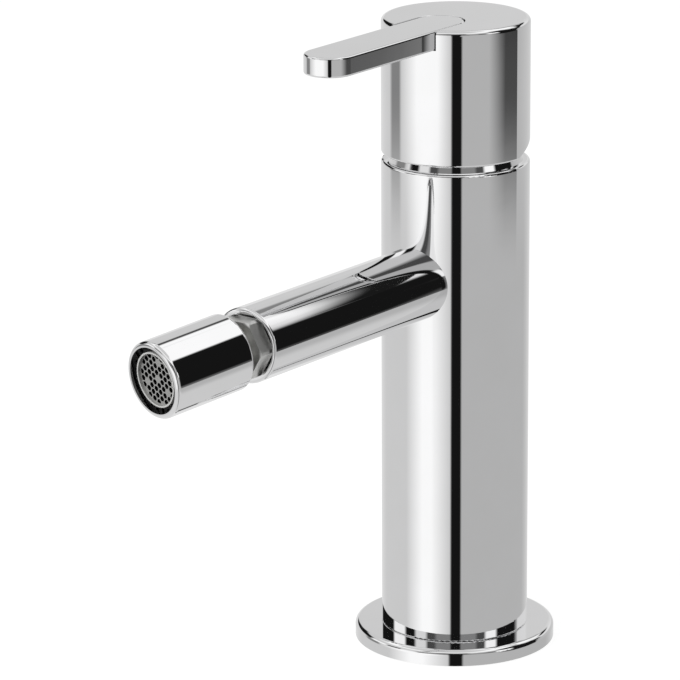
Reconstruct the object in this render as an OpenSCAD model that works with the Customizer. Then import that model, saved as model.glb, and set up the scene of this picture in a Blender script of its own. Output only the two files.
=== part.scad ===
// Single-lever bidet mixer: a round brass body on a base flange, a straight
// spout that ends in a swivelling aerator, and a cylindrical handle with a
// flat lever. The origin is the centre of the base flange's underside, +Z is
// up and the spout points along -Y.

/* [Body] */
// Diameter of the column and of the handle cap
body_d = 45; // [44:0.5:52]
// Height of the column's top face above the deck
body_top = 152; // [130:1:180]
// Radius of the column's top edge
body_edge_r = 0.9; // [0.3:0.1:1.2]
// Radius of the column's lower edge, where it stands on the flange
foot_edge_r = 0.4; // [0.2:0.1:0.8]
// Diameter of the hose well that opens at the column's underside
well_d = 33; // [28:0.5:35]
// Distance of the inlet block's underside, where hoses and stud screw in, below the spout's axis
bulkhead_drop = 23.2; // [22.5:0.1:40]
// Height of the inlet block
block_h = 14; // [13:0.5:14]

/* [Base flange] */
// Diameter of the base flange
flange_d = 61.5; // [56:0.5:70]
// Thickness of the base flange
flange_h = 4.8; // [4:0.1:7]
// Radius of the flange's upper edge
flange_edge_r = 1.6; // [0.5:0.1:2]
// Diameter of the column's spigot in the flange
spigot_d = 38.5; // [37:0.5:41]
// Width of the sealing ring under the flange
gasket_w = 3.2; // [2:0.1:3.4]
// Thickness of the sealing ring under the flange
gasket_h = 2; // [1:0.1:2.4]

/* [Inlets and fixing] */
// Radius of the two hose threads, M10x1
inlet_r = 4.5; // [3.5:0.1:4.8]
// Length of the hose threads
inlet_len = 12; // [8:0.5:14]
// Distance of each hose thread from the middle plane
inlet_x = 8.5; // [8:0.1:9.5]
// Distance of the hose threads behind the column's axis
inlet_y = 4.5; // [3.5:0.1:6]
// Radius of the fixing stud's thread, M8
stud_r = 3.4; // [2.5:0.1:3.8]
// Length of the fixing stud's thread
stud_len = 12; // [8:0.5:13]
// Distance of the fixing stud behind the column's axis
stud_y = 11; // [10.8:0.1:11.3]

/* [Spout] */
// Outer diameter of the spout
spout_d = 22.4; // [21.4:0.1:26]
// Distance of the spout's axis below the column's top
spout_drop = 34.8; // [34:0.1:36]
// Distance of the spout's end face from the column's axis
spout_reach = 103.7; // [80:0.1:130]
// Radius of the spout's end edge
spout_edge_r = 1; // [0.5:0.1:1]
// Diameter of the recess in the spout's end, round the hexagon
end_recess_d = 20.2; // [19.8:0.1:20.4]
// Depth of the recess in the spout's end
end_recess = 2; // [1.5:0.1:3]
// Diameter of the spout's waterway
waterway_d = 10; // [8:0.5:11]
// Diameter of the spout's spigot in the column
spout_spigot_d = 14; // [13:0.5:14.5]
// Depth of the spout's spigot, measured from the column's front
spout_spigot_len = 11; // [9:0.5:13]

/* [Ball swivel] */
// Distance of the ball's centre from the spout's end face
ball_reach = 13.5; // [13.5:0.1:15]
// Diameter of the ball
ball_d = 13; // [12.5:0.1:13.4]
// Diameter of the neck between ball and hexagon
neck_d = 6.8; // [6:0.1:7]
// Width of the hexagon across its flats
hexagon_w = 17; // [15:0.5:17]
// Length of the hexagon
hexagon_h = 5.8; // [3:0.1:5.8]
// Thickness of the washer behind the hexagon
hex_washer_h = 0.8; // [0.5:0.1:1]
// Diameter of the ball stud's shank in the spout
shank_d = 12; // [11.5:0.5:14]
// Length of the ball stud's shank
shank_len = 9; // [6:0.5:12]
// Thickness of each swivel ring round the ball
swivel_ring_t = 1.05; // [0.9:0.05:1.2]
// Running gap between spherical faces
ball_gap = 0.08; // [0.05:0.01:0.1]
// Angle that the aerator can lean from the spout's axis
swivel_angle = 15; // [8:1:16]
// Sideways turn of the aerator as stored, toward -X
aim_side = 12; // [-15:0.5:15]
// Downward lean of the aerator as stored
aim_down = 6.5; // [-15:0.5:15]

/* [Aerator] */
// Outer diameter of the aerator housing
aerator_d = 22.9; // [22.6:0.1:26]
// Gap between the spout's end and the aerator housing, with the two in line
swivel_gap = 8.3; // [8.1:0.1:9]
// Length of the aerator housing
aerator_len = 28.2; // [27.5:0.1:40]
// Radius of the housing's edges
aerator_edge_r = 1.2; // [0.5:0.1:1.5]
// Diameter of the housing's bore at the mouth
mouth_d = 19.8; // [19:0.2:20]
// Depth of the black crown below the housing's lip
crown_depth = 2.6; // [1.5:0.1:4]
// Depth of the screen below the housing's lip
screen_depth = 1; // [0.5:0.1:2]
// Depth of the honeycomb below the screen's rim
honeycomb_depth = 1; // [0.5:0.1:2]
// Number of notches in the crown, for the aerator key
crown_notches = 24; // [12:2:30]
// Width of each notch in the crown
notch_w = 1.2; // [0.6:0.1:1.4]
// Depth of each notch in the crown
notch_depth = 1.2; // [0.5:0.1:2]
// Outer diameter of the screen
screen_d = 16.4; // [15:0.1:16.8]
// Width of the screen's plain rim
screen_rim = 0.5; // [0.4:0.1:1]
// Thickness of the screen
screen_t = 3; // [2:0.1:4]
// Distance between neighbouring cells of the screen
cell_pitch = 1.95; // [1.6:0.05:2.4]
// Thickness of the web between two cells
cell_web = 0.4; // [0.3:0.05:0.6]

/* [Cartridge] */
// Diameter of the cartridge
cartridge_d = 34.6; // [34:0.2:35]
// Depth of the cartridge's seat below the column's top
cartridge_depth = 25; // [24:0.5:26]
// Diameter of the turret that the lever turns
turret_d = 23; // [22:0.2:23.6]
// Diameter of the ceramic discs
disc_d = 22; // [20:0.5:23]
// Thickness of each ceramic disc
disc_t = 3.2; // [2.6:0.1:3.4]
// Diameter of the retaining nut
nut_d = 37.6; // [37:0.2:38.4]
// Height of the retaining nut
nut_h = 5; // [4.6:0.1:5.4]
// Height of the lever's pivot above the column's top
pivot_rise = 5; // [4.5:0.1:5.5]
// Diameter of the pivot pin
pin_d = 3.5; // [3:0.1:4]

/* [Handle] */
// Height of the handle cap
cap_h = 41.4; // [36:0.1:60]
// Gap between the column and the handle cap
handle_gap = 2.3; // [2:0.1:3]
// Wall of the handle cap
cap_wall = 1.6; // [1.2:0.1:1.8]
// Radius of the cap's top edge
cap_edge_r = 1.5; // [0.5:0.1:2]
// Radius of the cap's lower edge
cap_foot_r = 0.6; // [0.2:0.1:0.7]
// Slope of the cap's lower edge at the back, which lets the cap lean
back_slope = 20; // [18:1:24]
// Angle that the lever lifts
lift_angle = 25; // [15:1:25]
// Diameter of the neck ring below the handle cap
neck_ring_d = 41; // [39:0.2:41]
// Height of the neck ring
neck_ring_h = 3.6; // [3:0.1:4]

/* [Lever] */
// Width of the lever blade
lever_w = 15.2; // [12:0.1:18]
// Thickness of the lever blade
lever_t = 6; // [4:0.1:7]
// Distance of the lever's tip from the column's axis
lever_reach = 70.2; // [55:0.1:90]
// Distance of the blade's inner end from the column's axis
lever_inset = 1; // [0.5:0.1:2]
// Radius of the blade's edges
lever_edge_r = 0.7; // [0.2:0.1:1.2]
// Gap round the blade in its slot
slot_gap = 0.25; // [0.1:0.01:0.3]
// Diameter of the two screws that hold the blade
lever_screw_d = 3; // [2:0.1:3.5]

/* [Clearances] */
// Seat clearance between fixed pieces
seat = 0.03; // [0.02:0.01:0.05]
// Running clearance of shafts in their holes
run = 0.06; // [0.03:0.01:0.09]
// Free room between pieces that move past each other
room = 0.4; // [0.3:0.05:0.5]

/* [Hidden] */
$fn = 96;
big = 400;
over = 1;

chrome_colour = [0.80, 0.81, 0.83];
brass_colour = [0.78, 0.62, 0.32];
steel_colour = [0.62, 0.63, 0.65];
black_colour = [0.06, 0.06, 0.07];
grey_colour = [0.62, 0.62, 0.62];
white_colour = [0.90, 0.89, 0.86];

// Heights that follow the column's top
spout_z = body_top - spout_drop;
block_bottom = spout_z - bulkhead_drop;
cartridge_seat = body_top - cartridge_depth;
cap_bottom = body_top + handle_gap;
handle_top = cap_bottom + cap_h;

body_r = body_d / 2;
well_r = well_d / 2;
block_step = 1;
block_r = well_r - block_step;
spout_r = spout_d / 2;
aerator_r = aerator_d / 2;
water_r = waterway_d / 2;
spigot_depth = 4;
end_gap = 0.5;
gasket_inset = 1.4;
gasket_out_r = flange_d / 2 - gasket_inset;

// Outlet port below the cartridge, in front of the hose threads
outlet_r = 3.4;
outlet_y = -6;
port_r = inlet_r - 1.2;
lip_in_r = inlet_r - 0.9;
lip_out_r = inlet_r + 0.4;
base_port_r = inlet_r - 1.6;
window_r = inlet_r - 1.8;
seal_places = [[-inlet_x, inlet_y], [inlet_x, inlet_y], [0, outlet_y]];
o_ring_y = -body_r + spout_spigot_len - 4;

// Levels inside the column, from the cartridge's seat upward
cartridge_gap = 0.1;
disc_wall = 2.6;
turret_lip = 1.7;
collar_wall = 1.5;
collar_gap = 0.2;
ear_wall = 1.75;
seal_h = 1.2;
seal_proud = 0.6;
base_bottom = cartridge_seat + seal_proud;
base_h = 6;
disc_seat_h = 1;
disc_bottom = base_bottom + base_h - disc_seat_h;
fixed_r = cartridge_d / 2 - disc_wall;
film = 0.05;
moving_bottom = disc_bottom + disc_t + film;
carrier_h = 3.2;
carrier_bottom = moving_bottom + disc_t;
carrier_top = carrier_bottom + carrier_h;
nut_bottom = body_top - nut_h;
turret_bottom = carrier_top + room;
housing_plate_h = 2;
turret_flange_h = nut_bottom - housing_plate_h - room - turret_bottom;
turret_flange_d = turret_d + 2 * turret_lip;
pivot_z = body_top + pivot_rise;
nut_r = nut_d / 2;
collar_r = turret_d / 2 + run + collar_wall;
collar_bore_r = collar_r + collar_gap;
ear_top = pivot_z + pin_d / 2 + ear_wall;

// Stem: a square bar above the pivot, a round finger with a ball below it
stem_w = 8;
hub_d = 9;
finger_d = 3.6;
finger_ball_d = 4.4;
finger_gap = 0.3;
finger_end = carrier_bottom + finger_ball_d / 2 + finger_gap;
finger_drop = pivot_z - finger_end;
disc_stroke = finger_drop * sin(lift_angle);
disc_offset = disc_stroke / 2;

// Handle: the web under the blade's slot, the boss on the stem and its screws
cap_in_r = body_r - cap_wall;
slot_floor = handle_top - lever_t;
slot_web = 3.4;
ceiling = slot_floor - slot_web;
boss_d = 17;
boss_rise = 1;
boss_bottom = ear_top + room + boss_d / 2 * tan(lift_angle) + boss_rise;
stem_bite = 0.6;
stem_top = ceiling + stem_bite;
grub_d = 5;
grub_len = boss_d / 2 - stem_w / 2 - seat;
grub_z = (boss_bottom + ceiling) / 2;
plug_h = 2.4;
lever_screw_x = 4;
lever_screw_y = -(boss_d / 2 + cap_in_r) / 2;
screw_head_h = 1.8;
screw_head_r = lever_screw_d * 0.9;
screw_bite = lever_t * 0.5;
screw_hole = lever_t * 0.6;
blade_half = lever_w / 2;
blade_inner_y = -lever_inset - blade_half;
blade_tip_y = -lever_reach + blade_half;

// Ball swivel and aerator, along -Y from the spout's end
ball_y = -(spout_reach + ball_reach);
ball_r = ball_d / 2;
slip_in_r = ball_r + ball_gap;
slip_out_r = slip_in_r + swivel_ring_t;
seal_in_r = slip_out_r + ball_gap;
seal_out_r = seal_in_r + swivel_ring_t;
socket_r = seal_out_r + ball_gap;
both_angles = acos(pow(cos(swivel_angle), 2));
housing_back = -(spout_reach + swivel_gap);
housing_front = housing_back - aerator_len;
back_depth = housing_back - ball_y;
back_rim_r = norm([back_depth, socket_r * 0.85]);
mouth_r = mouth_d / 2;
thread_step = 0.25;
socket_bore_r = socket_r + thread_step;
ring_front_angle = 48;
retainer_bore_r = 5;
retainer_len = 8;
retainer_rise = 1;
retainer_front = ball_y - retainer_len;
insert_washer_h = 1.2;
crown_back = retainer_front - insert_washer_h;
crown_front = housing_front + crown_depth;
screen_front = housing_front + screen_depth;
screen_r = screen_d / 2;
cell_r = (cell_pitch - cell_web) / sqrt(3);
plate_h = 2;
lattice_turn = -21;

// The screen's closed cells: the middle one and three round it
function closed_cell(i, j) =
    (i == 0 && j == 0) || (i == -2 && j == 3) || (i == -1 && j == -2) || (i == 3 && j == -1);

// Radius of the opening, on a sphere of radius r, past which a neck of the
// ball stud leans by the angle a with some room to spare
function neck_opening(r, a) =
    r * sin(min(89, asin(neck_d / 2 / r) + a)) + room;

// A tube with rounded corners at its outer edges
module ring(r_in, r_out, z0, z1, edge_low = 0, edge_high = 0)
{
    rotate_extrude()
        difference() {
            translate([r_in, z0])
                square([r_out - r_in, z1 - z0]);
            if (edge_low > 0)
                corner_cut(r_out - edge_low, z0 + edge_low, edge_low, -1);
            if (edge_high > 0)
                corner_cut(r_out - edge_high, z1 - edge_high, edge_high, 1);
        }
}

// The sliver that rounds one outer corner, up or down
module corner_cut(cx, cz, r, up)
{
    difference() {
        translate([cx, up > 0 ? cz : cz - r - over])
            square([r + over, r + over]);
        translate([cx, cz])
            circle(r);
    }
}

// Turns an upright solid so that its +Z points along the spout, to -Y
module along_spout(y = 0)
{
    translate([0, y, spout_z])
        rotate([90, 0, 0])
            children();
}

// The same for pieces that are turned on the ball, leaning down by an angle
module on_ball(y, down = aim_down)
{
    translate([0, ball_y, spout_z])
        rotate([down, 0, -aim_side])
            translate([0, y - ball_y, 0])
                rotate([90, 0, 0])
                    children();
}

// Part of a hollow ball between two radii, open at both ends
module ball_zone(r_in, r_out, back_opening)
{
    difference() {
        sphere(r_out);
        sphere(r_in);
        translate([0, 0, -r_out])
            cylinder(h = r_out, r = back_opening);
        cylinder(h = r_out, r = r_out * sin(ring_front_angle));
    }
}

// Flat O-ring of round section
module o_ring(mean_r, section_r)
{
    rotate_extrude()
        translate([mean_r, 0])
            circle(section_r, $fn = 32);
}

// Round rosette that spreads the column's load on the deck
module base_flange()
{
    color(chrome_colour)
        difference() {
            ring(spigot_d / 2 + seat, flange_d / 2, 0, flange_h, 0, flange_edge_r);
            ring(gasket_out_r - gasket_w - seat, gasket_out_r + seat, -over, gasket_h);
        }
}

// Rubber ring in the flange's groove, flush with its underside
module base_gasket()
{
    color(black_colour)
        ring(gasket_out_r - gasket_w, gasket_out_r, 0, gasket_h);
}

// Brass column: hose well and inlet block's seat below, cartridge's seat above
module body_column()
{
    color(chrome_colour)
        difference() {
            union() {
                ring(0, body_r, flange_h, body_top, foot_edge_r, body_edge_r);
                cylinder_at(flange_h - spigot_depth, spigot_depth + over, spigot_d / 2);
            }
            cylinder_at(-over, block_bottom + over, well_r);
            cylinder_at(block_bottom - over, block_h + over, block_r);
            for (side = [-1, 1])
                translate([side * inlet_x, inlet_y, block_bottom])
                    cylinder(h = big, r = port_r);
            cylinder_at(cartridge_seat, big, cartridge_d / 2 + cartridge_gap);
            cylinder_at(nut_bottom, big, nut_r + seat);
            along_spout(-body_r + spout_spigot_len)
                cylinder(h = big, d = spout_spigot_d + 2 * seat);
            along_spout(outlet_y + outlet_r + over)
                cylinder(h = big, r = water_r);
            translate([0, outlet_y, spout_z])
                cylinder(h = big, r = outlet_r);
        }
}

// Brass block soldered into the column, with the threads of hoses and stud
module inlet_block()
{
    color(brass_colour)
        difference() {
            cylinder_at(block_bottom, block_h, block_r - seat);
            for (side = [-1, 1])
                translate([side * inlet_x, inlet_y, block_bottom - over]) {
                    cylinder(h = inlet_len + over, r = inlet_r);
                    cylinder(h = big, r = port_r);
                }
            translate([0, stud_y, block_bottom - over])
                cylinder(h = stud_len + over, r = stud_r);
        }
}

// Spout: a straight tube whose root is cut to the column's curve
module spout_tube()
{
    spigot_y = -body_r + spout_spigot_len - end_gap;
    groove_depth = 1.1;
    groove_w = 2.2;
    color(chrome_colour)
        difference() {
            union() {
                difference() {
                    along_spout()
                        ring(0, spout_r, 0, spout_reach, 0, spout_edge_r);
                    cylinder(h = big, r = body_r + seat);
                }
                along_spout(spigot_y)
                    cylinder(h = body_r + spigot_y + spout_r / 2, d = spout_spigot_d);
            }
            along_spout(over)
                cylinder(h = big, r = water_r);
            along_spout(-spout_reach + end_recess)
                cylinder(h = big, d = end_recess_d);
            along_spout(-spout_reach + end_recess + shank_len + end_gap)
                cylinder(h = big, d = shank_d + 2 * seat);
            along_spout(o_ring_y + groove_w / 2)
                difference() {
                    cylinder(h = groove_w, d = spout_spigot_d + 2 * over);
                    cylinder_at(-over, groove_w + 2 * over, spout_spigot_d / 2 - groove_depth);
                }
        }
}

// O-ring in the spigot's groove
module spout_o_ring()
{
    section_r = 0.55;
    color(black_colour)
        along_spout(o_ring_y)
            o_ring(spout_spigot_d / 2 - section_r, section_r);
}

// Sealing washer between the spout's end and the hexagon
module hex_washer()
{
    inset = 0.3;
    color(black_colour)
        along_spout(-spout_reach + end_recess)
            ring(shank_d / 2 + seat, hexagon_w / 2 - inset, 0, hex_washer_h);
}

// Ball stud: shank, hexagon, neck and ball in one turned piece
module ball_stud()
{
    wall = 1.2;
    bore_r = neck_d / 2 - wall;
    corner_trim = 0.25;
    corner_r = 0.6;
    flare = 1.5;
    centre = end_recess + ball_reach;
    corner_out_r = hexagon_w / 2 / cos(30);
    color(chrome_colour)
        along_spout(-spout_reach + end_recess)
            difference() {
                union() {
                    cylinder_at(-shank_len, shank_len + hex_washer_h + hexagon_h / 2, shank_d / 2);
                    translate([0, 0, hex_washer_h])
                        intersection() {
                            cylinder(h = hexagon_h, r = corner_out_r, $fn = 6);
                            ring(0, corner_out_r - corner_trim, 0, hexagon_h, 0, corner_r);
                        }
                    cylinder(h = centre, d = neck_d);
                    translate([0, 0, centre])
                        sphere(ball_r);
                }
                cylinder_at(-shank_len - over, big, bore_r);
                cylinder_at(centre + ball_r - wall, big, bore_r + flare);
            }
}

// Lip seals of the three ports, between cartridge and seat
module cartridge_seals()
{
    color(black_colour)
        for (p = seal_places)
            translate([p[0], p[1], cartridge_seat])
                ring(lip_in_r, lip_out_r, 0, seal_h);
}

// Plastic base with the three ports and the seat of the fixed disc
module cartridge_base()
{
    color(grey_colour)
        difference() {
            ring(0, cartridge_d / 2, base_bottom, base_bottom + base_h);
            for (p = seal_places)
                translate([p[0], p[1], base_bottom - over]) {
                    cylinder(h = over + seal_h - seal_proud, r = lip_out_r + seat);
                    cylinder(h = big, r = base_port_r);
                }
            cylinder_at(disc_bottom, big, fixed_r + seat);
        }
}

// Lower ceramic disc, with the inlet and outlet windows
module fixed_disc()
{
    color(white_colour)
        difference() {
            ring(0, fixed_r, disc_bottom, disc_bottom + disc_t);
            for (p = seal_places)
                translate([p[0], p[1], disc_bottom - over])
                    cylinder(h = big, r = window_r);
        }
}

// Plastic housing that the nut clamps, with the turret's collar
module cartridge_housing()
{
    bore = turret_d / 2 + run;
    wall = 1.3;
    edge_r = 0.4;
    low = base_bottom + base_h;
    color(grey_colour)
        difference() {
            union() {
                ring(0, cartridge_d / 2, low, nut_bottom, 0, edge_r);
                cylinder_at(nut_bottom - over, nut_h + over, collar_r);
            }
            cylinder_at(low - over, nut_bottom - housing_plate_h - low + over, cartridge_d / 2 - wall);
            cylinder_at(low - over, big, bore);
        }
}

// Upright cylinder from a given height
module cylinder_at(z, h, r)
{
    translate([0, 0, z])
        cylinder(h = h, r = r);
}

// Brass nut that clamps the cartridge, with a hexagon for the key
module retaining_nut()
{
    hex_h = 2.6;
    hex_step = 1.6;
    color(brass_colour)
        difference() {
            ring(0, nut_r, nut_bottom, body_top);
            cylinder_at(nut_bottom - over, big, collar_bore_r);
            difference() {
                cylinder_at(body_top - hex_h, big, nut_r + over);
                cylinder_at(body_top - hex_h - over, big, nut_r - hex_step, $fn = 6);
            }
        }
}

// Polished ring in the gap between column and handle
module neck_ring()
{
    top_r = 2;
    color(chrome_colour)
        ring(collar_bore_r, neck_ring_d / 2, body_top, body_top + neck_ring_h, 0, top_r);
}

// Turret: turns in the housing and carries the lever's pivot between two ears
module turret()
{
    r = turret_d / 2;
    slot_w = stem_w + 2 * run;
    slot_bottom = pivot_z - hub_d / 2 - room;
    reach = finger_drop * sin(lift_angle) + finger_ball_d / 2 + room;
    color(white_colour)
        difference() {
            union() {
                cylinder_at(turret_bottom, ear_top - turret_bottom, r);
                cylinder_at(turret_bottom, turret_flange_h, turret_flange_d / 2);
            }
            translate([-slot_w / 2, -big / 2, slot_bottom])
                cube([slot_w, big, big]);
            translate([-finger_ball_d / 2 - room, -reach, turret_bottom - over])
                cube([finger_ball_d + 2 * room, reach + finger_ball_d / 2 + room, big]);
            translate([-big / 2, 0, pivot_z])
                rotate([0, 90, 0])
                    cylinder(h = big, d = pin_d + 2 * seat);
        }
}

// Steel pin through the turret's ears and the stem
module pivot_pin()
{
    pin_len = turret_d - 2;
    color(steel_colour)
        translate([-pin_len / 2, 0, pivot_z])
            rotate([0, 90, 0])
                cylinder(h = pin_len, d = pin_d);
}

// Carrier that drags the upper disc along with the stem's finger
module disc_carrier()
{
    color(grey_colour)
        difference() {
            translate([0, disc_offset, carrier_bottom])
                cylinder(h = carrier_h, d = disc_d);
            cylinder_at(carrier_bottom - over, big, finger_ball_d / 2 + room);
        }
}

// Upper ceramic disc, with the mixing chamber in its underside
module moving_disc()
{
    color(white_colour)
        translate([0, disc_offset, 0])
            difference() {
                cylinder_at(moving_bottom, disc_t, disc_d / 2);
                cylinder_at(moving_bottom - over, over + disc_t / 2, disc_d / 4);
            }
}

// Stem: hub on the pin, square bar into the handle, ball-ended finger below
module stem()
{
    color(steel_colour)
        difference() {
            union() {
                translate([-stem_w / 2, 0, pivot_z])
                    rotate([0, 90, 0])
                        cylinder(h = stem_w, d = hub_d);
                translate([-stem_w / 2, -stem_w / 2, pivot_z])
                    cube([stem_w, stem_w, stem_top - pivot_z]);
                cylinder_at(finger_end, finger_drop, finger_d / 2);
                translate([0, 0, finger_end])
                    sphere(d = finger_ball_d);
            }
            translate([-stem_w, 0, pivot_z])
                rotate([0, 90, 0])
                    cylinder(h = 2 * stem_w, d = pin_d + 2 * run);
        }
}

// Handle cap: a shell with a slot for the blade and a boss for the stem
module handle_cap()
{
    socket_w = stem_w + 2 * seat;
    color(chrome_colour)
        difference() {
            union() {
                difference() {
                    ring(0, body_r, cap_bottom, handle_top, cap_foot_r, cap_edge_r);
                    cylinder_at(cap_bottom - over, ceiling - cap_bottom + over, cap_in_r);
                }
                cylinder_at(boss_bottom, ceiling - boss_bottom + over, boss_d / 2);
            }
            back_cut();
            translate([0, 0, slot_floor])
                blade_outline(big, slot_gap);
            translate([-socket_w / 2, -socket_w / 2, boss_bottom - over])
                cube([socket_w, socket_w, stem_top - boss_bottom + over + seat]);
            translate([0, 0, grub_z])
                rotate([-90, 0, 0])
                    cylinder(h = big, d = grub_d + 2 * seat);
            for (side = [-1, 1])
                translate([side * lever_screw_x, lever_screw_y, ceiling - over])
                    cylinder(h = big, d = lever_screw_d + 2 * seat);
        }
}

// Wedge that clears the cap's back edge from the column as the lever lifts
module back_cut()
{
    translate([-big / 2, 0, cap_bottom])
        rotate([back_slope, 0, 0])
            translate([0, 0, -big])
                cube([big, big, big]);
}

// The blade's outline, with round ends, as a plain prism
module blade_outline(h, gap)
{
    for (y = [blade_inner_y, blade_tip_y])
        translate([0, y, 0])
            cylinder(h = h, r = blade_half + gap);
    translate([-blade_half - gap, blade_tip_y, 0])
        cube([lever_w + 2 * gap, blade_inner_y - blade_tip_y, h]);
}

// Half of the blade's cross-section, rounded at its outer corners
module blade_half_section()
{
    edge_x = blade_half - lever_edge_r;
    difference() {
        square([blade_half, lever_t]);
        corner_cut(edge_x, lever_edge_r, lever_edge_r, -1);
        corner_cut(edge_x, lever_t - lever_edge_r, lever_edge_r, 1);
    }
}

// Flat lever blade, flush with the cap's top, with round ends and soft edges
module lever_blade()
{
    color(chrome_colour)
        difference() {
            translate([0, 0, slot_floor])
                union() {
                    for (y = [blade_inner_y, blade_tip_y])
                        translate([0, y, 0])
                            rotate_extrude()
                                blade_half_section();
                    for (side = [0, 1])
                        mirror([side, 0, 0])
                            translate([0, blade_inner_y, 0])
                                rotate([90, 0, 0])
                                    linear_extrude(blade_inner_y - blade_tip_y)
                                        blade_half_section();
                }
            for (side = [-1, 1])
                translate([side * lever_screw_x, lever_screw_y, slot_floor - over])
                    cylinder(h = over + screw_hole, d = lever_screw_d + 2 * seat);
        }
}

// Two screws that hold the blade from inside the cap
module lever_screws()
{
    color(steel_colour)
        for (side = [-1, 1])
            translate([side * lever_screw_x, lever_screw_y, 0]) {
                cylinder_at(ceiling - screw_head_h, screw_head_h, screw_head_r);
                cylinder_at(ceiling - over, over + slot_web + screw_bite, lever_screw_d / 2);
            }
}

// Grub screw that clamps the boss on the stem, with a hexagon socket
module grub_screw()
{
    color(steel_colour)
        translate([0, stem_w / 2 + seat, grub_z])
            rotate([-90, 0, 0])
                difference() {
                    cylinder(h = grub_len, d = grub_d);
                    translate([0, 0, grub_len / 2])
                        cylinder(h = grub_len, d = grub_d / 2, $fn = 6);
                }
}

// Plug that closes the grub screw's hole at the back of the cap
module screw_plug()
{
    color(chrome_colour)
        intersection() {
            translate([0, body_r - plug_h, grub_z])
                rotate([-90, 0, 0])
                    cylinder(h = plug_h + over, d = grub_d);
            cylinder_at(0, big, body_r);
        }
}

// Inner ring of the ball swivel, which turns sideways on the ball
module slip_ring()
{
    color(white_colour)
        on_ball(ball_y, 0)
            ball_zone(slip_in_r, slip_out_r, neck_opening(slip_out_r, swivel_angle));
}

// Outer ring of the ball swivel, which leans up and down on the inner one
module seal_ring()
{
    color(black_colour)
        on_ball(ball_y)
            ball_zone(seal_in_r, seal_out_r, neck_opening(seal_out_r, both_angles));
}

// Housing of the aerator: round shell with the ball's seat at its back
module aerator_housing()
{
    front = aerator_len - back_depth;
    color(chrome_colour)
        on_ball(ball_y)
            difference() {
                ring(0, aerator_r, -back_depth, front, aerator_edge_r, aerator_edge_r);
                sphere(socket_r);
                cylinder_at(-back_depth - over, back_depth + over, neck_opening(back_rim_r, both_angles));
                cylinder(h = big, r = socket_bore_r);
                cylinder_at(retainer_len, big, mouth_r);
            }
}

// Threaded ring that holds the swivel rings in the housing's seat
module ball_retainer()
{
    color(brass_colour)
        on_ball(ball_y)
            difference() {
                cylinder_at(retainer_rise, retainer_len - retainer_rise, socket_bore_r - seat);
                sphere(socket_r);
                cylinder(h = big, r = retainer_bore_r);
            }
}

// Washer between the retainer and the aerator's insert
module aerator_washer()
{
    bore_step = 0.4;
    rim_gap = 0.5;
    color(black_colour)
        on_ball(retainer_front)
            ring(retainer_bore_r + bore_step, mouth_r - rim_gap, 0, insert_washer_h);
}

// Black threaded insert with the notched crown round the screen
module aerator_crown()
{
    crown_len = crown_back - crown_front;
    bore = screen_r + 2 * seat;
    notch_floor_r = (bore + mouth_r) / 2;
    color(black_colour)
        on_ball(crown_back)
            difference() {
                cylinder(h = crown_len, r = mouth_r - seat);
                cylinder_at(-over, big, bore);
                for (i = [0:crown_notches - 1])
                    rotate([0, 0, i * 360 / crown_notches])
                        translate([notch_floor_r, -notch_w / 2, crown_len - notch_depth])
                            cube([mouth_r, notch_w, notch_depth + over]);
            }
}

// Perforated plate that breaks up the stream before the screen
module flow_plate()
{
    hole_r = 0.6;
    color(grey_colour)
        on_ball(crown_back)
            difference() {
                cylinder(h = plate_h, r = screen_r);
                for (row = [1:2])
                    for (i = [0:6 * row - 1])
                        rotate([0, 0, i * 60 / row])
                            translate([row * screen_r / 3, 0, -over])
                                cylinder(h = plate_h + 2 * over, r = hole_r);
            }
}

// Honeycomb screen at the mouth, with four cells left closed
module aerator_screen()
{
    rows = ceil(screen_r / cell_pitch) + 1;
    field_r = screen_r - screen_rim;
    depth = crown_back - screen_front - plate_h;
    face = depth - honeycomb_depth;
    color(grey_colour)
        on_ball(crown_back - plate_h)
            difference() {
                cylinder(h = depth, r = screen_r);
                cylinder_at(face, big, field_r);
                cylinder_at(-over, face - screen_t + over, field_r);
                intersection() {
                    cylinder_at(face - screen_t - over, screen_t + 2 * over, field_r - cell_web / 2);
                    honeycomb_cells(rows, field_r - cell_r / 3, face - screen_t - over);
                }
            }
}

// The open cells of the screen as prisms, up to a given distance from its middle
module honeycomb_cells(rows, reach, z)
{
    for (i = [-rows:rows])
        for (j = [-rows:rows]) {
            x = (i + j / 2) * cell_pitch;
            y = j * cell_pitch * sqrt(3) / 2;
            if (norm([x, y]) < reach && !closed_cell(i, j))
                rotate([0, 0, lattice_turn])
                    translate([x, y, z])
                        rotate([0, 0, 30])
                            cylinder(h = screen_t + 2 * over, r = cell_r, $fn = 6);
        }
}

base_flange();
base_gasket();
body_column();
inlet_block();
spout_tube();
spout_o_ring();
hex_washer();
ball_stud();
cartridge_seals();
cartridge_base();
fixed_disc();
cartridge_housing();
retaining_nut();
neck_ring();
turret();
pivot_pin();
disc_carrier();
moving_disc();
stem();
handle_cap();
lever_blade();
lever_screws();
grub_screw();
screw_plug();
slip_ring();
seal_ring();
aerator_housing();
ball_retainer();
aerator_washer();
aerator_crown();
flow_plate();
aerator_screen();
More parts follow.
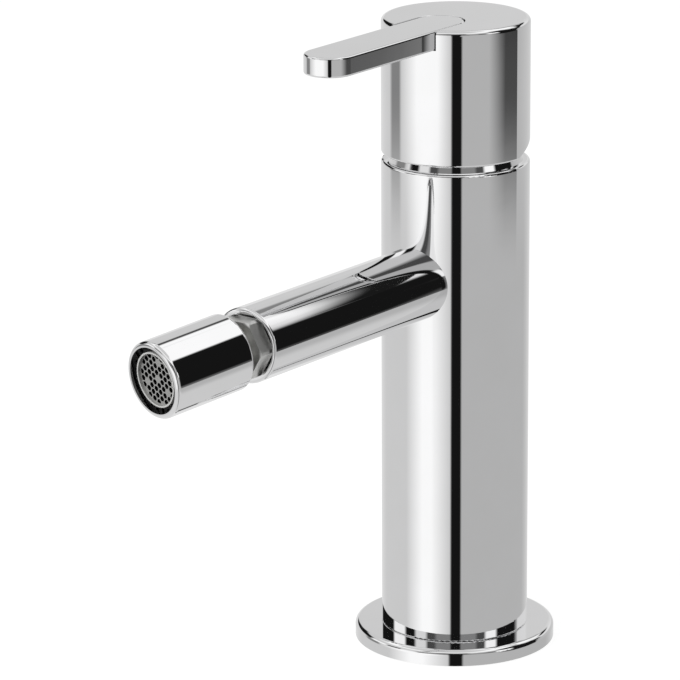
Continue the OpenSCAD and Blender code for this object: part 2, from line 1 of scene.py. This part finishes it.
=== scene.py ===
import math
import bmesh
import bpy
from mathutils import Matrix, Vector


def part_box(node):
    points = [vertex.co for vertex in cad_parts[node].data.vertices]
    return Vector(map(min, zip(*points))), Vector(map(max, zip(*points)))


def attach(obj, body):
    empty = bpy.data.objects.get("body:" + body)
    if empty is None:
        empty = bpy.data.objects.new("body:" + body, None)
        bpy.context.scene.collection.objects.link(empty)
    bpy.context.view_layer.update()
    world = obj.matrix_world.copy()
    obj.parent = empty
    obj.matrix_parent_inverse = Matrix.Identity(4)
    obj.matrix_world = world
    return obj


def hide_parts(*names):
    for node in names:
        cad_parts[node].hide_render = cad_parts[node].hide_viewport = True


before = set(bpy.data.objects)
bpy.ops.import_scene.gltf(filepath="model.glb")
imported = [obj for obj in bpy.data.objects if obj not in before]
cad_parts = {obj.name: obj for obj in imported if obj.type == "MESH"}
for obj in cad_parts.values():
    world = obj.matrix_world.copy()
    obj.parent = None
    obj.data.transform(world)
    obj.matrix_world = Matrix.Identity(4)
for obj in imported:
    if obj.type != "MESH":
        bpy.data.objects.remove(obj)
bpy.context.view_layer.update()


# Camera: far off with a long lens, looking down a little, so the column's edges stay
# nearly parallel.
camera = bpy.data.objects.new("camera", bpy.data.cameras.new("camera"))
bpy.context.scene.collection.objects.link(camera)
camera.location = (0.7674, -1.0733, 0.4785)
camera.rotation_euler = (math.radians(73.78), math.radians(0.28), math.radians(37.01))
camera.data.sensor_width = 36
camera.data.lens = 238.03
bpy.context.scene.camera = camera
bpy.context.scene.view_settings.view_transform = "Standard"


# Studio: a white tent with black and grey flags round the object, as for any polished
# metal, in seven plain tones. Each ring below is one height of the tent, given as the
# sine of its elevation, with tones at angles to the right of the camera's side.
def linear(code):
    channels = [int(code[i:i + 2], 16) / 255 for i in (1, 3, 5)]
    return [c / 12.92 if c <= 0.04045 else ((c + 0.055) / 1.055) ** 2.4 for c in channels] + [1]


def add(tree, kind, fields={}, values={}, links={}):
    node = tree.nodes.new(kind)
    for name, value in fields.items():
        setattr(node, name, value)
    for key, value in values.items():
        node.inputs[key].default_value = value
    for key, socket in links.items():
        tree.links.new(socket, node.inputs[key])
    return node


def blank(name):
    material = bpy.data.materials.new(name)
    material.use_nodes = True
    material.node_tree.nodes.clear()
    return material


tones = {"white": "#FAFAFA", "pale": "#DCDCDC", "silver": "#C8C8C8", "grey": "#B0B0B0", "mid": "#808080",
         "dark": "#484848", "black": "#141414"}
paper_below = [(-180, "pale"), (-10, "silver"), (-8, "black"), (6, "black"), (8, "silver"), (145, "silver"),
               (148, "dark"), (153, "dark"), (156, "pale"), (180, "pale")]
deck_level = [(-180, "pale"), (-140, "silver"), (-85, "silver"), (-55, "white"), (-40, "white"),
              (-10, "silver"), (-8, "black"), (6, "black"), (8, "grey"), (130, "grey"), (155, "silver"),
              (180, "pale")]
handle_level = [(-180, "pale"), (-125, "silver"), (-118, "mid"), (-100, "mid"), (-95, "silver"),
                (-65, "white"), (-30, "white"), (-10, "silver"), (-8, "black"), (6, "black"), (8, "grey"),
                (50, "grey"), (80, "dark"), (105, "dark"), (108, "grey"), (155, "silver"), (180, "pale")]
flag_low = [(-180, "pale"), (-125, "silver"), (-118, "mid"), (-100, "mid"), (-95, "silver"),
            (-65, "white"), (-30, "white"), (-10, "silver"), (-8, "black"), (6, "black"), (8, "grey"),
            (50, "grey"), (70, "black"), (105, "black"), (108, "grey"), (155, "silver"), (180, "pale")]
eye_level = [(-180, "silver"), (-168, "silver"), (-163, "black"), (-117, "black"), (-112, "white"),
             (-90, "white"), (-85, "black"), (-70, "black"), (-65, "pale"), (-50, "pale"), (-45, "dark"),
             (-35, "dark"), (-30, "mid"), (-10, "mid"), (-8, "black"), (6, "black"), (8, "mid"),
             (30, "mid"), (35, "dark"), (45, "dark"), (50, "white"), (65, "white"), (70, "black"),
             (112, "black"), (118, "pale"), (150, "pale"), (180, "silver")]
flag_middle = [(-180, "silver"), (-166, "silver"), (-160, "black"), (-123, "black"), (-117, "silver"),
               (-40, "silver"), (-15, "dark"), (12, "dark"), (18, "grey"), (56, "grey"), (62, "black"),
               (104, "black"), (112, "pale"), (122, "pale"), (127, "black"), (152, "black"),
               (157, "silver"), (180, "silver")]
flag_top = [(-180, "silver"), (-40, "silver"), (-15, "dark"), (12, "dark"), (18, "grey"), (56, "grey"),
            (62, "black"), (92, "black"), (104, "pale"), (130, "white"), (152, "silver"), (156, "mid"),
            (164, "mid"), (168, "silver"), (180, "silver")]
seam = [(-180, "dark"), (-160, "dark"), (-145, "pale"), (56, "white"), (62, "black"), (90, "black"),
        (102, "white"), (145, "white"), (160, "dark"), (180, "dark")]
ceiling = [(-180, "white"), (180, "white")]
skylight = [(-180, "silver"), (30, "silver"), (60, "white"), (155, "white"), (170, "silver"),
            (180, "silver")]
apex = [(-180, "silver"), (180, "silver")]
rings = [(-0.75, paper_below), (-0.55, paper_below), (-0.37, deck_level), (-0.265, deck_level),
         (-0.225, handle_level), (-0.19, flag_low), (0.15, flag_low), (0.19, eye_level),
         (0.37, eye_level), (0.44, flag_middle), (0.50, flag_middle), (0.56, flag_top),
         (0.66, flag_top), (0.70, seam), (0.735, seam), (0.78, ceiling), (0.82, ceiling),
         (0.85, skylight), (0.91, skylight), (0.95, apex)]
tent_turn = math.radians(38.1)
world = bpy.data.worlds.new("studio")
bpy.context.scene.world = world
world.use_nodes = True
tent = world.node_tree
tent.nodes.clear()
direction = add(tent, "ShaderNodeTexCoord").outputs["Generated"]
turned = add(tent, "ShaderNodeVectorRotate", {"rotation_type": "Z_AXIS"},
             {"Angle": math.radians(90) - tent_turn}, {"Vector": direction})
parts = add(tent, "ShaderNodeSeparateXYZ", links={"Vector": turned.outputs[0]})
angle = add(tent, "ShaderNodeMath", {"operation": "ARCTAN2"},
            links={0: parts.outputs["Y"], 1: parts.outputs["X"]})
place = add(tent, "ShaderNodeMapRange", values={"From Min": -math.pi, "From Max": math.pi},
            links={"Value": angle.outputs[0]})
blend = None
for level, (height, stops) in enumerate(rings):
    ramp = add(tent, "ShaderNodeValToRGB", links={"Fac": place.outputs[0]})
    bands = ramp.color_ramp.elements
    for degrees, tone in stops:
        edge = {-180: 0, 180: len(bands) - 1}.get(degrees)
        band = bands.new(degrees / 360 + 0.5) if edge is None else bands[edge]
        band.color = linear(tones[tone])
    if blend is None:
        blend = ramp.outputs["Color"]
        continue
    below = rings[level - 1][0]
    rise = add(tent, "ShaderNodeMapRange", {"interpolation_type": "SMOOTHSTEP"},
               {"From Min": below, "From Max": height}, {"Value": parts.outputs["Z"]})
    blend = add(tent, "ShaderNodeMix", {"data_type": "RGBA"},
                links={0: rise.outputs[0], 6: blend, 7: ramp.outputs["Color"]}).outputs[2]
# A little over full strength makes up for what the plate swallows
lit = add(tent, "ShaderNodeBackground", values={"Strength": 1.12}, links={"Color": blend})
white = add(tent, "ShaderNodeBackground", values={"Color": linear("#FFFFFF")})
ray = add(tent, "ShaderNodeLightPath")
mixed = add(tent, "ShaderNodeMixShader",
            links={0: ray.outputs["Is Camera Ray"], 1: lit.outputs[0], 2: white.outputs[0]})
add(tent, "ShaderNodeOutputWorld", links={"Surface": mixed.outputs[0]})


# Lamp: a soft box at the front left that lifts the matt pieces to their written colour.
# Polished metal shows the tent alone, so mirrors don't see it.
soft_box = bpy.data.objects.new("soft_box", bpy.data.lights.new("soft_box", "AREA"))
bpy.context.scene.collection.objects.link(soft_box)
soft_box.data.shape = "DISK"
soft_box.data.size = 0.8
soft_box.data.energy = 7
soft_box.location = (-0.2, -1.1, 0.75)
soft_box.rotation_euler = (Vector((0, -0.1, 0.1)) - soft_box.location).to_track_quat("-Z", "Y").to_euler()
soft_box.visible_glossy = False


# Floor: white paper sweep. It keeps a faint shadow of the object, and polished metal
# looks past it into the tent.
bpy.ops.mesh.primitive_plane_add(size=6, location=(0, 0, -0.0004))
floor = bpy.context.object
floor.name = "floor"
floor.visible_glossy = False
paper = blank("white_paper_sweep")
sheet = paper.node_tree
matt = add(sheet, "ShaderNodeBsdfDiffuse", values={"Color": linear("#8A8A8A")})
glow = add(sheet, "ShaderNodeEmission", values={"Color": linear("#FFFFFF"), "Strength": 0.86})
seen = add(sheet, "ShaderNodeLightPath")
dark = add(sheet, "ShaderNodeEmission", values={"Strength": 0})
glow_seen = add(sheet, "ShaderNodeMixShader",
                links={0: seen.outputs["Is Camera Ray"], 1: dark.outputs[0], 2: glow.outputs[0]})
both = add(sheet, "ShaderNodeAddShader", links={0: matt.outputs[0], 1: glow_seen.outputs[0]})
# From below the sheet is clear, so that the underside of the object can be looked at
underside = add(sheet, "ShaderNodeNewGeometry").outputs["Backfacing"]
unseen = add(sheet, "ShaderNodeBsdfTransparent")
one_sided = add(sheet, "ShaderNodeMixShader", links={0: underside, 1: both.outputs[0], 2: unseen.outputs[0]})
add(sheet, "ShaderNodeOutputMaterial", links={"Surface": one_sided.outputs[0]})
floor.data.materials.append(paper)


# Flag: a black card high behind the column that polished metal alone sees. It thins out
# towards its upper edge, so that the spout's upper side darkens to its root.
bpy.ops.mesh.primitive_plane_add(size=1, location=(0.088, 0.15, 0.283))
flag = bpy.context.object
flag.name = "root_flag"
flag.scale = (0.16, 0.063, 1)
flag.rotation_euler = (math.radians(90), math.radians(31), 0)
flag.visible_camera = False
flag.visible_diffuse = False
flag.visible_shadow = False
gauze = blank("black_card_thinning")
card = gauze.node_tree
spot = add(card, "ShaderNodeTexCoord").outputs["Object"]
across = add(card, "ShaderNodeSeparateXYZ", links={"Vector": spot})
# Black up to a third of the card's height, then thinner over 40 mm until clear
thin = add(card, "ShaderNodeMapRange", {"interpolation_type": "SMOOTHSTEP"},
           {"From Min": -0.167, "From Max": 0.473}, {"Value": across.outputs["Y"]})
black = add(card, "ShaderNodeEmission", values={"Color": linear("#1A1A1A")})
clear = add(card, "ShaderNodeBsdfTransparent")
thinned = add(card, "ShaderNodeMixShader",
              links={0: thin.outputs[0], 1: black.outputs[0], 2: clear.outputs[0]})
add(card, "ShaderNodeOutputMaterial", links={"Surface": thinned.outputs[0]})
flag.data.materials.append(gauze)


# Base flange: a turned brass rosette, polished and plated, that spreads the load on
# the deck. Its upper edge is rounded, and a rubber ring lies in a groove below.
# Nickel-chrome plate: a neutral mirror with the faint ripple of buffing below the layer.
chrome = blank("chrome_plated_brass_polished")
plate = chrome.node_tree
spot = add(plate, "ShaderNodeTexCoord").outputs["Object"]
# Cloudy patches about 12 mm wide, from wiping and water
haze = add(plate, "ShaderNodeTexNoise", values={"Scale": 1 / 0.012, "Detail": 3},
           links={"Vector": spot})
tone = add(plate, "ShaderNodeMix", {"data_type": "RGBA"}, {6: linear("#EFEFEF"), 7: linear("#F4F4F5")},
           {0: haze.outputs["Fac"]})
gloss = add(plate, "ShaderNodeMapRange", values={"To Min": 0.015, "To Max": 0.045},
            links={"Value": haze.outputs["Fac"]})
# Ripple of the buffed brass, about 6 mm long and under a micrometre high
ripple = add(plate, "ShaderNodeTexNoise", values={"Scale": 1 / 0.006, "Detail": 1}, links={"Vector": spot})
wave = add(plate, "ShaderNodeBump", values={"Strength": 0.02, "Distance": 0.0001},
           links={"Height": ripple.outputs["Fac"]})
mirror = add(plate, "ShaderNodeBsdfPrincipled", values={"Metallic": 1},
             links={"Base Color": tone.outputs[2], "Roughness": gloss.outputs[0], "Normal": wave.outputs[0]})
add(plate, "ShaderNodeOutputMaterial", links={"Surface": mirror.outputs[0]})
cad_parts["base_flange"].data.materials[0] = chrome

# EPDM rubber: matt black with a fine moulded grain.
rubber = blank("epdm_rubber_moulded")
gum = rubber.node_tree
spot = add(gum, "ShaderNodeTexCoord").outputs["Object"]
# Bloom in patches of 3 mm, grain of 0.3 mm
bloom = add(gum, "ShaderNodeTexNoise", values={"Scale": 1 / 0.003, "Detail": 4}, links={"Vector": spot})
tone = add(gum, "ShaderNodeMix", {"data_type": "RGBA"}, {6: linear("#151516"), 7: linear("#232325")},
           {0: bloom.outputs["Fac"]})
grain = add(gum, "ShaderNodeTexNoise", values={"Scale": 1 / 0.0003, "Detail": 2}, links={"Vector": spot})
bump = add(gum, "ShaderNodeBump", values={"Strength": 0.3, "Distance": 0.00003},
           links={"Height": grain.outputs["Fac"]})
skin = add(gum, "ShaderNodeBsdfPrincipled", values={"Roughness": 0.72, "IOR": 1.5},
           links={"Base Color": tone.outputs[2], "Normal": bump.outputs[0]})
add(gum, "ShaderNodeOutputMaterial", links={"Surface": skin.outputs[0]})
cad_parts["base_gasket"].data.materials[0] = rubber


# Column: brass tube, turned and plated like the flange, with the brass inlet block
# soldered inside. The block stays raw, with the rings that the lathe left on it.
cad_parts["body_column"].data.materials[0] = chrome
brass = blank("brass_turned")
yellow = brass.node_tree
spot = add(yellow, "ShaderNodeTexCoord").outputs["Object"]
# Tarnish in patches of 5 mm
tarnish = add(yellow, "ShaderNodeTexNoise", values={"Scale": 1 / 0.005, "Detail": 4}, links={"Vector": spot})
tone = add(yellow, "ShaderNodeMix", {"data_type": "RGBA"}, {6: linear("#B8954A"), 7: linear("#D2B468")},
           {0: tarnish.outputs["Fac"]})
gloss = add(yellow, "ShaderNodeMapRange", values={"To Min": 0.22, "To Max": 0.4},
            links={"Value": tarnish.outputs["Fac"]})
# Feed marks of the lathe, drawn 0.5 mm apart so that they show
feed = add(yellow, "ShaderNodeTexWave", {"wave_type": "RINGS", "rings_direction": "Z"},
           {"Scale": 1 / 0.0005 / 20, "Distortion": 0.3}, {"Vector": spot})
bump = add(yellow, "ShaderNodeBump", values={"Strength": 0.15, "Distance": 0.00005},
           links={"Height": feed.outputs["Fac"]})
metal = add(yellow, "ShaderNodeBsdfPrincipled", values={"Metallic": 1},
            links={"Base Color": tone.outputs[2], "Roughness": gloss.outputs[0], "Normal": bump.outputs[0]})
add(yellow, "ShaderNodeOutputMaterial", links={"Surface": metal.outputs[0]})
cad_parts["inlet_block"].data.materials[0] = brass


# Spout: straight plated tube, its root cut to the column's curve and soldered to it.
# An O-ring seals its spigot in the column.
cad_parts["spout_tube"].data.materials[0] = chrome
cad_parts["spout_o_ring"].data.materials[0] = rubber


# Ball stud: shank, hexagon, neck and ball, turned from one bar and plated. It screws
# into the spout's end on a rubber washer.
# Nickel plate on the milled bar: satin, with fine tool marks below the plate.
nickel = blank("nickel_plated_brass_satin")
stud = nickel.node_tree
spot = add(stud, "ShaderNodeTexCoord").outputs["Object"]
# Tool marks drawn 0.4 mm wide so that they show
marks = add(stud, "ShaderNodeTexNoise", values={"Scale": 1 / 0.0004, "Detail": 2}, links={"Vector": spot})
tone = add(stud, "ShaderNodeMix", {"data_type": "RGBA"}, {6: linear("#DADAD8"), 7: linear("#EAEAE8")},
           {0: marks.outputs["Fac"]})
gloss = add(stud, "ShaderNodeMapRange", values={"To Min": 0.32, "To Max": 0.44},
            links={"Value": marks.outputs["Fac"]})
metal = add(stud, "ShaderNodeBsdfPrincipled", values={"Metallic": 1},
            links={"Base Color": tone.outputs[2], "Roughness": gloss.outputs[0]})
add(stud, "ShaderNodeOutputMaterial", links={"Surface": metal.outputs[0]})
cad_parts["ball_stud"].data.materials[0] = nickel
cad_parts["hex_washer"].data.materials[0] = rubber


# Cartridge: moulded plastic base and housing that hold two ceramic discs and a turret,
# sealed below by three rubber rings.
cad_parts["cartridge_seals"].data.materials[0] = rubber
# Acetal, moulded: satin grey with the fine spark-eroded grain of its mould.
acetal = blank("grey_acetal_moulded")
satin = acetal.node_tree
spot = add(satin, "ShaderNodeTexCoord").outputs["Object"]
# Flow marks 4 mm wide, grain of 0.25 mm
flow = add(satin, "ShaderNodeTexNoise", values={"Scale": 1 / 0.004, "Detail": 3}, links={"Vector": spot})
tone = add(satin, "ShaderNodeMix", {"data_type": "RGBA"}, {6: linear("#A9AAAB"), 7: linear("#BCBDBE")},
           {0: flow.outputs["Fac"]})
grain = add(satin, "ShaderNodeTexNoise", values={"Scale": 1 / 0.00025, "Detail": 2}, links={"Vector": spot})
bump = add(satin, "ShaderNodeBump", values={"Strength": 0.2, "Distance": 0.00002},
           links={"Height": grain.outputs["Fac"]})
skin = add(satin, "ShaderNodeBsdfPrincipled", values={"Roughness": 0.36, "IOR": 1.48},
           links={"Base Color": tone.outputs[2], "Normal": bump.outputs[0]})
add(satin, "ShaderNodeOutputMaterial", links={"Surface": skin.outputs[0]})
for name in ("cartridge_base", "cartridge_housing", "disc_carrier"):
    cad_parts[name].data.materials[0] = acetal

# Alumina, lapped: warm white, nearly a mirror, with fine dark pores.
alumina = blank("alumina_lapped")
lapped = alumina.node_tree
spot = add(lapped, "ShaderNodeTexCoord").outputs["Object"]
# Pores drawn 0.2 mm wide so that they show
pores = add(lapped, "ShaderNodeTexNoise", values={"Scale": 1 / 0.0002, "Detail": 2}, links={"Vector": spot})
tone = add(lapped, "ShaderNodeMix", {"data_type": "RGBA"}, {6: linear("#DDD8CC"), 7: linear("#F2EEE5")},
           {0: pores.outputs["Fac"]})
gloss = add(lapped, "ShaderNodeMapRange", values={"To Min": 0.3, "To Max": 0.14},
            links={"Value": pores.outputs["Fac"]})
skin = add(lapped, "ShaderNodeBsdfPrincipled", values={"IOR": 1.76},
           links={"Base Color": tone.outputs[2], "Roughness": gloss.outputs[0]})
add(lapped, "ShaderNodeOutputMaterial", links={"Surface": skin.outputs[0]})
for name in ("fixed_disc", "moving_disc"):
    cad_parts[name].data.materials[0] = alumina

# Nylon, moulded: milky white, a little translucent, with faint flow marks.
nylon = blank("white_nylon_moulded")
milky = nylon.node_tree
spot = add(milky, "ShaderNodeTexCoord").outputs["Object"]
flow = add(milky, "ShaderNodeTexNoise", values={"Scale": 1 / 0.004, "Detail": 3}, links={"Vector": spot})
tone = add(milky, "ShaderNodeMix", {"data_type": "RGBA"}, {6: linear("#DEDCD4"), 7: linear("#EBEAE4")},
           {0: flow.outputs["Fac"]})
gloss = add(milky, "ShaderNodeMapRange", values={"To Min": 0.3, "To Max": 0.45},
            links={"Value": flow.outputs["Fac"]})
skin = add(milky, "ShaderNodeBsdfPrincipled", values={"IOR": 1.53},
           links={"Base Color": tone.outputs[2], "Roughness": gloss.outputs[0]})
add(milky, "ShaderNodeOutputMaterial", links={"Surface": skin.outputs[0]})
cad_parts["turret"].data.materials[0] = nylon


# Retaining nut: raw brass, clamps the cartridge. It stays hidden.
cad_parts["retaining_nut"].data.materials[0] = brass


# Neck ring: plated brass, what shows in the gap below the handle. It stands on the
# column and is turned with a slight taper, with its upper edge broken.
foot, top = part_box("neck_ring")
bore = min(math.hypot(corner.co.x, corner.co.y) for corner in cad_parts["neck_ring"].data.vertices)
taper = math.tan(math.radians(16))
broken = 0.0003
shoulder = top.x - (top.z - broken - foot.z) * taper
profile = [(bore, foot.z), (top.x, foot.z), (shoulder, top.z - broken), (shoulder - broken, top.z),
           (bore, top.z)]
turned_ring = bmesh.new()
points = [turned_ring.verts.new((radius, 0, height)) for radius, height in profile]
edges = [turned_ring.edges.new((points[i - 1], points[i])) for i in range(len(points))]
bmesh.ops.spin(turned_ring, geom=points + edges, axis=(0, 0, 1), cent=(0, 0, 0), steps=160,
               angle=math.radians(360), use_merge=True)
bmesh.ops.remove_doubles(turned_ring, verts=turned_ring.verts, dist=0.000001)
bmesh.ops.recalc_face_normals(turned_ring, faces=turned_ring.faces)
neck = bpy.data.objects.new("neck_ring_turned", bpy.data.meshes.new("neck_ring_turned"))
turned_ring.to_mesh(neck.data)
turned_ring.free()
neck.data.shade_smooth()
neck.data.set_sharp_from_angle(angle=math.radians(20))
neck.data.materials.append(chrome)
bpy.context.scene.collection.objects.link(neck)
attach(neck, "mixer_body")
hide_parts("neck_ring")


# Lever mechanism: stainless pin through the turret, square stem with its finger, and
# the screws that hold the handle together.
steel = blank("stainless_steel_turned")
bar = steel.node_tree
spot = add(bar, "ShaderNodeTexCoord").outputs["Object"]
# Drawing marks about 0.4 mm wide
scratch = add(bar, "ShaderNodeTexNoise", values={"Scale": 1 / 0.0004, "Detail": 3}, links={"Vector": spot})
tone = add(bar, "ShaderNodeMix", {"data_type": "RGBA"}, {6: linear("#A6A8AB"), 7: linear("#C2C4C7")},
           {0: scratch.outputs["Fac"]})
gloss = add(bar, "ShaderNodeMapRange", values={"To Min": 0.2, "To Max": 0.36},
            links={"Value": scratch.outputs["Fac"]})
metal = add(bar, "ShaderNodeBsdfPrincipled", values={"Metallic": 1},
            links={"Base Color": tone.outputs[2], "Roughness": gloss.outputs[0]})
add(bar, "ShaderNodeOutputMaterial", links={"Surface": metal.outputs[0]})
for name in ("pivot_pin", "stem", "lever_screws", "grub_screw"):
    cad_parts[name].data.materials[0] = steel


# Handle: plated cap as thick as the column, with the flat lever blade let into its top
# and a small plated plug over the grub screw at the back.
for name in ("handle_cap", "lever_blade", "screw_plug"):
    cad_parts[name].data.materials[0] = chrome


# Swivel: two thin rings round the ball, held in the aerator housing by a brass ring.
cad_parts["slip_ring"].data.materials[0] = nylon
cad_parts["seal_ring"].data.materials[0] = rubber
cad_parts["ball_retainer"].data.materials[0] = brass


# Aerator: plated housing with a black threaded insert, a perforated plate and a pale
# honeycomb screen at its mouth.
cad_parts["aerator_housing"].data.materials[0] = chrome
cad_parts["aerator_washer"].data.materials[0] = rubber
# Pale acetal, moulded: the screen shows a bright lattice, and painted shade darkens the walls inside the
# cells in place of their shadow. Depth is measured along the aerator's axis from the lattice's face.
lattice = blank("pale_acetal_moulded")
mesh = lattice.node_tree
spot = add(mesh, "ShaderNodeTexCoord").outputs["Object"]
yaw = math.radians(12)
pitch = math.radians(6.5)
outwards = Vector((-math.sin(yaw) * math.cos(pitch), -math.cos(yaw) * math.cos(pitch), -math.sin(pitch)))
rim = max(outwards.dot(corner.co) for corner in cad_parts["aerator_screen"].data.vertices)
along = add(mesh, "ShaderNodeVectorMath", {"operation": "DOT_PRODUCT"}, {1: outwards}, {0: spot})
# The face lies 1 mm behind the rim, and the walls are painted dark, as shade, from 0.1 mm below the face
face = rim - 0.001
painted_cell_shade = add(mesh, "ShaderNodeMapRange", values={"From Min": face - 0.0001, "From Max": face - 0.00001},
            links={"Value": along.outputs["Value"]})
# Near black is the painted shade in the cells, grey is the lattice's own colour
tone = add(mesh, "ShaderNodeMix", {"data_type": "RGBA"}, {6: linear("#161616"), 7: linear("#A8A8A6")},
           {0: painted_cell_shade.outputs[0]})
# The rim's edge, 0.2 mm deep, is coloured lighter
rim_edge_band = add(mesh, "ShaderNodeMapRange", values={"From Min": rim - 0.0002, "From Max": rim},
           links={"Value": along.outputs["Value"]})
tone = add(mesh, "ShaderNodeMix", {"data_type": "RGBA"}, {7: linear("#DCDCDA")},
           {0: rim_edge_band.outputs[0], 6: tone.outputs[2]})
# Scale of lime in patches of 0.6 mm, which breaks up the gloss
scale = add(mesh, "ShaderNodeTexNoise", values={"Scale": 1 / 0.0006, "Detail": 2}, links={"Vector": spot})
gloss = add(mesh, "ShaderNodeMapRange", values={"To Min": 0.3, "To Max": 0.5},
            links={"Value": scale.outputs["Fac"]})
skin = add(mesh, "ShaderNodeBsdfPrincipled", values={"IOR": 1.48},
           links={"Base Color": tone.outputs[2], "Roughness": gloss.outputs[0]})
add(mesh, "ShaderNodeOutputMaterial", links={"Surface": skin.outputs[0]})
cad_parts["aerator_screen"].data.materials[0] = lattice
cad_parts["flow_plate"].data.materials[0] = acetal
# Glass-filled nylon, moulded: black and matt, with grain that scatters the light.
insert = blank("black_nylon_moulded")
coal = insert.node_tree
spot = add(coal, "ShaderNodeTexCoord").outputs["Object"]
# Fibres near the surface, in patches of 0.8 mm
fibre = add(coal, "ShaderNodeTexNoise", values={"Scale": 1 / 0.0008, "Detail": 4}, links={"Vector": spot})
tone = add(coal, "ShaderNodeMix", {"data_type": "RGBA"}, {6: linear("#0C0C0D"), 7: linear("#161617")},
           {0: fibre.outputs["Fac"]})
bump = add(coal, "ShaderNodeBump", values={"Strength": 0.25, "Distance": 0.00003},
           links={"Height": fibre.outputs["Fac"]})
skin = add(coal, "ShaderNodeBsdfPrincipled",
           values={"Roughness": 0.6, "IOR": 1.53, "Specular IOR Level": 0.3},
           links={"Base Color": tone.outputs[2], "Normal": bump.outputs[0]})
add(coal, "ShaderNodeOutputMaterial", links={"Surface": skin.outputs[0]})
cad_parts["aerator_crown"].data.materials[0] = insert
